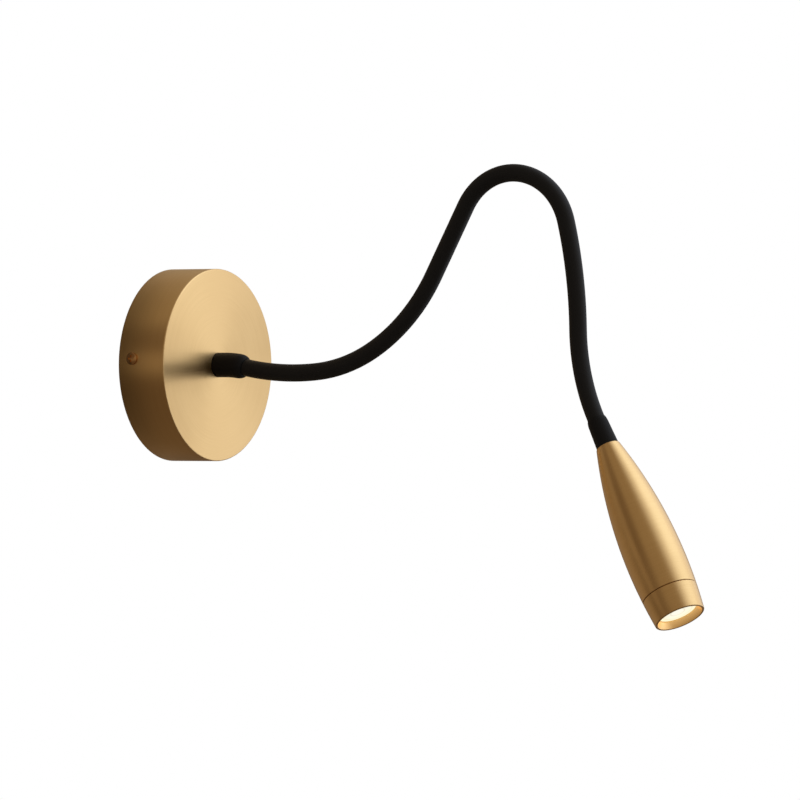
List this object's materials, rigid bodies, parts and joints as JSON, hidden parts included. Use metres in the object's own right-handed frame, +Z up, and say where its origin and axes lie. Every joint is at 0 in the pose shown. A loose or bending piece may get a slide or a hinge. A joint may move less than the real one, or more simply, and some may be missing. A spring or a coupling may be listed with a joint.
{
  "type": "gooseneck wall lamp",
  "caption": "Wall reading lamp: round brass canopy, black sleeved gooseneck that bends and stays put, and a slim torpedo spotlight head.",
  "frame": {"origin": "centre of the canopy, on the wall plane", "axes": "+Y into the wall, the lamp stands out along -Y, +Z up, +X to the right seen from the front"},
  "size_m": [0.1028, 0.3298, 0.2348],
  "materials": {
    "brushed_brass": "satin brushed and clear lacquered",
    "bronze_screw": "darkened brass",
    "zinc_plate": "bright zinc plated",
    "core_steel": "bare wound spring steel",
    "sleeve_silicone": "matte black silicone",
    "collar_black": "matte black moulded",
    "grommet_rubber": "matte black",
    "driver_plastic": "fine textured white",
    "circuit_board": "solder mask with moulded parts",
    "terminal_plastic": "natural moulded",
    "terminal_brass": "bright turned",
    "lead_jacket": "smooth pale grey jacket",
    "aluminium_slug": "turned",
    "led_board": "white solder mask",
    "led_phosphor": "phosphor",
    "holder_plastic": "matte",
    "lens_clear": "clear moulded lens"
  },
  "bodies": {
    "canopy": {"canopy_cover": "brushed_brass", "mounting_plate": "zinc_plate", "cable_grommet": "grommet_rubber", "side_screws": "bronze_screw", "root_nipple": "zinc_plate", "lock_nut": "zinc_plate", "toothed_washer": "zinc_plate", "driver_housing": "driver_plastic", "driver_lid": "driver_plastic", "driver_board": "circuit_board", "driver_screws": "zinc_plate", "terminal_block": "terminal_plastic", "terminal_screws": "terminal_brass", "earth_screw": "terminal_brass", "input_lead": "lead_jacket", "output_lead": "lead_jacket", "root_collar": "collar_black", "neck_core_0": "core_steel", "neck_sleeve_0": "sleeve_silicone", "neck_lead_0": "lead_jacket"},
    "neck_1": {"neck_core_1": "core_steel", "neck_sleeve_1": "sleeve_silicone", "neck_lead_1": "lead_jacket"},
    "neck_2": {"neck_core_2": "core_steel", "neck_sleeve_2": "sleeve_silicone", "neck_lead_2": "lead_jacket"},
    "neck_3": {"neck_core_3": "core_steel", "neck_sleeve_3": "sleeve_silicone", "neck_lead_3": "lead_jacket"},
    "neck_4": {"neck_core_4": "core_steel", "neck_sleeve_4": "sleeve_silicone", "neck_lead_4": "lead_jacket"},
    "neck_5": {"neck_core_5": "core_steel", "neck_sleeve_5": "sleeve_silicone", "neck_lead_5": "lead_jacket"},
    "neck_6": {"neck_core_6": "core_steel", "neck_sleeve_6": "sleeve_silicone", "neck_lead_6": "lead_jacket"},
    "neck_7": {"neck_core_7": "core_steel", "neck_sleeve_7": "sleeve_silicone", "neck_lead_7": "lead_jacket"},
    "head": {"neck_core_8": "core_steel", "neck_sleeve_8": "sleeve_silicone", "neck_lead_8": "lead_jacket", "head_collar": "collar_black", "head_ferrule": "zinc_plate", "head_nut": "zinc_plate", "head_shell": "brushed_brass", "bezel_ring": "brushed_brass", "heat_sink": "aluminium_slug", "led_board": "led_board", "led_chip": "led_phosphor", "lens_holder": "holder_plastic", "lens": "lens_clear", "head_lead": "lead_jacket"}
  },
  "joints": [
    {"name": "root_swing", "type": "hinge", "parent": "canopy", "child": "neck_1", "pos_m": [0, -0.04541, -0.00134], "axis": [0, -0.1908, 0.9816], "range_deg": [-35, 35], "deforming": ["neck_sleeve_0", "neck_lead_0", "neck_sleeve_1", "neck_lead_1"]},
    {"name": "root_lift", "type": "hinge", "parent": "neck_1", "child": "neck_2", "pos_m": [0, -0.0892, -0.00363], "axis": [-1, 0, 0], "range_deg": [-35, 35], "deforming": ["neck_sleeve_1", "neck_lead_1", "neck_sleeve_2", "neck_lead_2"]},
    {"name": "rise_swing", "type": "hinge", "parent": "neck_2", "child": "neck_3", "pos_m": [0, -0.12421, 0.0074], "axis": [0, 0.5, 0.866], "range_deg": [-35, 35], "deforming": ["neck_sleeve_2", "neck_lead_2", "neck_sleeve_3", "neck_lead_3"]},
    {"name": "rise_lift", "type": "hinge", "parent": "neck_3", "child": "neck_4", "pos_m": [0, -0.1616, 0.04545], "axis": [-1, 0, 0], "range_deg": [-35, 35], "deforming": ["neck_sleeve_3", "neck_lead_3", "neck_sleeve_4", "neck_lead_4"]},
    {"name": "arch_swing", "type": "hinge", "parent": "neck_4", "child": "neck_5", "pos_m": [0, -0.18099, 0.08044], "axis": [0, 0.8746, 0.4848], "range_deg": [-30, 30], "deforming": ["neck_sleeve_4", "neck_lead_4", "neck_sleeve_5", "neck_lead_5"]},
    {"name": "arch_lift", "type": "hinge", "parent": "neck_5", "child": "neck_6", "pos_m": [0, -0.21087, 0.097], "axis": [-1, 0, 0], "range_deg": [-12, 35], "deforming": ["neck_sleeve_5", "neck_lead_5", "neck_sleeve_6", "neck_lead_6"]},
    {"name": "drop_swing", "type": "hinge", "parent": "neck_6", "child": "neck_7", "pos_m": [0, -0.24113, 0.07205], "axis": [0, 0.9703, -0.2419], "range_deg": [-35, 35], "deforming": ["neck_sleeve_6", "neck_lead_6", "neck_sleeve_7", "neck_lead_7"]},
    {"name": "head_tilt", "type": "hinge", "parent": "neck_7", "child": "head", "pos_m": [0, -0.24829, 0.01764], "axis": [-1, 0, 0], "range_deg": [-35, 35], "deforming": ["neck_sleeve_7", "neck_lead_7", "neck_sleeve_8", "neck_lead_8"]}
  ]
}
